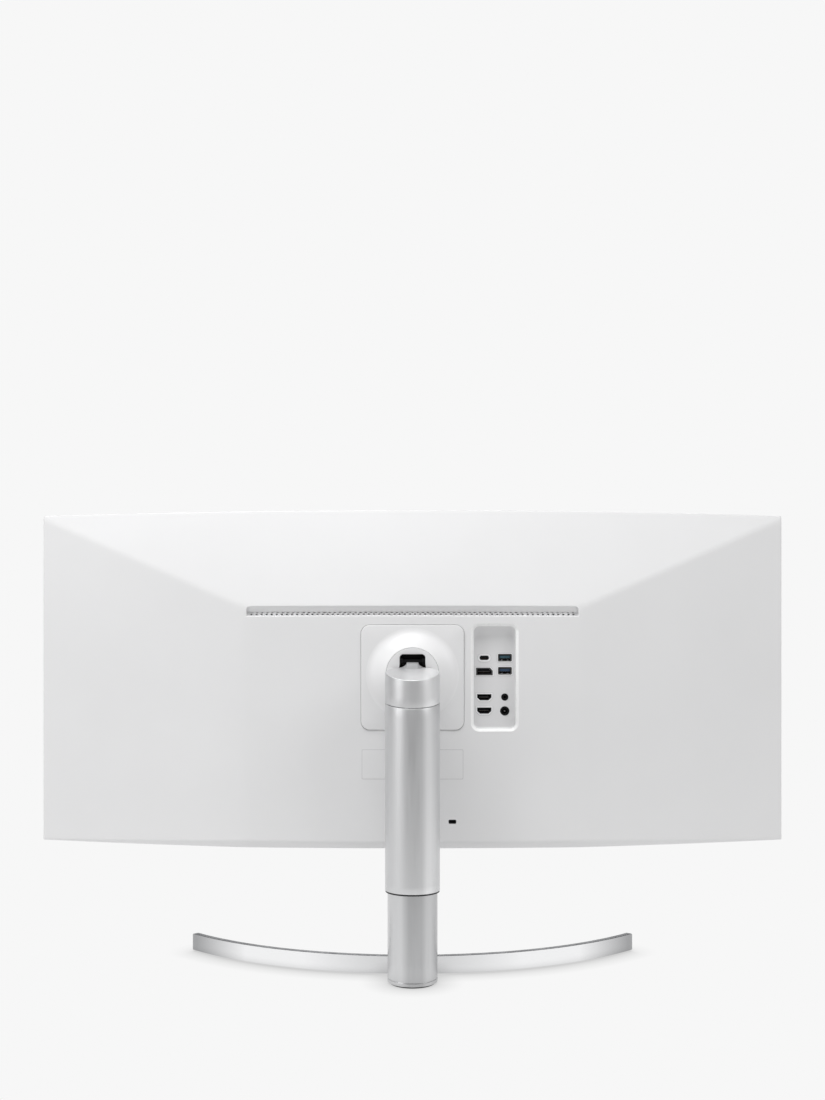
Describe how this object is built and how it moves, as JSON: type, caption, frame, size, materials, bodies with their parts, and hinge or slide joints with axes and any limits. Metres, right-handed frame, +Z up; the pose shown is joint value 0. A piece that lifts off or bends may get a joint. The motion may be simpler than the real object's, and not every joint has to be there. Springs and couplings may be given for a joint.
{
  "type": "computer monitor",
  "caption": "Curved ultrawide computer monitor, white faceted back, round height-adjusting column with tilt hinge, arc-shaped base.",
  "frame": {"origin": "on the desk, on the axis of the stand column, at the underside of its foot pad", "axes": "+Z up, +X to the right as the user sees the screen, -Y towards the user (the screen faces -Y, the rear cover +Y)"},
  "size_m": [0.896, 0.1849, 0.53],
  "materials": {
    "white_textured": "fine spark-eroded texture, satin white",
    "white_smooth": "smooth semi-gloss white",
    "grey_plastic": "matt light grey",
    "brushed_silver": "fine brushed, satin silver",
    "bright_rod": "ground and plated",
    "steel_sheet": "zinc-plated sheet",
    "machined_steel": "machined",
    "dark_plastic": "matt dark grey",
    "port_metal": "dark plated shell",
    "screen_glass": "anti-glare black",
    "clear_sheet": "clear acrylic",
    "circuit_board": "green solder mask",
    "foot_rubber": "matt black"
  },
  "bodies": {
    "base": {"base_arc": "brushed_silver", "base_pad_left": "foot_rubber", "base_pad_right": "foot_rubber", "foot_pad": "foot_rubber", "column_foot": "brushed_silver", "inner_tube": "brushed_silver", "lift_rail": "machined_steel", "gas_spring_cylinder": "machined_steel"},
    "lift": {"lift_carriage": "machined_steel", "swivel_spindle": "machined_steel", "swivel_washer": "dark_plastic", "swivel_nut": "machined_steel", "gas_spring_rod": "bright_rod"},
    "column": {"outer_tube": "brushed_silver", "glide_ring": "dark_plastic", "column_cap": "brushed_silver", "neck_arm": "machined_steel", "swivel_hub": "machined_steel"},
    "stick_gimbal": {"stick_ring": "dark_plastic"},
    "stick_cradle": {"stick_yoke": "dark_plastic"},
    "stick": {"stick_knob": "dark_plastic"},
    "head": {"chassis_tray": "steel_sheet", "chin_trim": "white_smooth", "friction_washer_left": "machined_steel", "friction_washer_right": "machined_steel", "hinge_dome": "white_smooth", "hinge_fork": "machined_steel", "hinge_shaft": "machined_steel", "hinge_window": "grey_plastic", "label_plate": "grey_plastic", "lcd_panel": "screen_glass", "led_driver_board": "circuit_board", "led_strip": "steel_sheet", "light_guide": "clear_sheet", "lock_slot": "steel_sheet", "main_board": "circuit_board", "middle_frame": "white_textured", "mount_cover": "white_textured", "mount_screw_1": "machined_steel", "mount_screw_2": "machined_steel", "mount_screw_3": "machined_steel", "mount_screw_4": "machined_steel", "port_bay": "white_textured", "port_dc_in": "port_metal", "port_displayport": "port_metal", "port_hdmi_lower": "port_metal", "port_hdmi_upper": "port_metal", "port_headphone": "port_metal", "port_usb_a_lower": "port_metal", "port_usb_a_upper": "port_metal", "port_usb_c": "port_metal", "rear_cover": "white_textured", "speaker_box_left": "dark_plastic", "speaker_box_right": "dark_plastic", "stand_bracket": "steel_sheet", "stick_housing": "dark_plastic", "tilt_spring_left": "machined_steel", "tilt_spring_right": "machined_steel", "vent_grille": "white_textured", "vesa_frame": "steel_sheet"}
  },
  "joints": [
    {"name": "height_slide", "type": "slide", "parent": "base", "child": "lift", "axis": [0, 0, 1], "range_m": [-0.068, 0.042]},
    {"name": "swivel", "type": "hinge", "parent": "lift", "child": "column", "pos_m": [0, 0, 0.28], "axis": [0, 0, 1], "range_deg": [-15, 15]},
    {"name": "tilt", "type": "hinge", "parent": "column", "child": "head", "pos_m": [0, -0.0455, 0.352], "axis": [-1, 0, 0], "range_deg": [-5, 15]},
    {"name": "stick_sideways", "type": "hinge", "parent": "head", "child": "stick_gimbal", "pos_m": [0, -0.0775, 0.146], "axis": [0, 1, 0], "range_deg": [-8, 8], "stiffness_Nm_per_rad": 0.01},
    {"name": "stick_fore_aft", "type": "hinge", "parent": "stick_gimbal", "child": "stick_cradle", "pos_m": [0, -0.0775, 0.146], "axis": [1, 0, 0], "range_deg": [-8, 8], "stiffness_Nm_per_rad": 0.01},
    {"name": "stick_press", "type": "slide", "parent": "stick_cradle", "child": "stick", "axis": [0, 0, 1], "range_m": [0, 0.0008], "stiffness_N_per_m": 300}
  ]
}
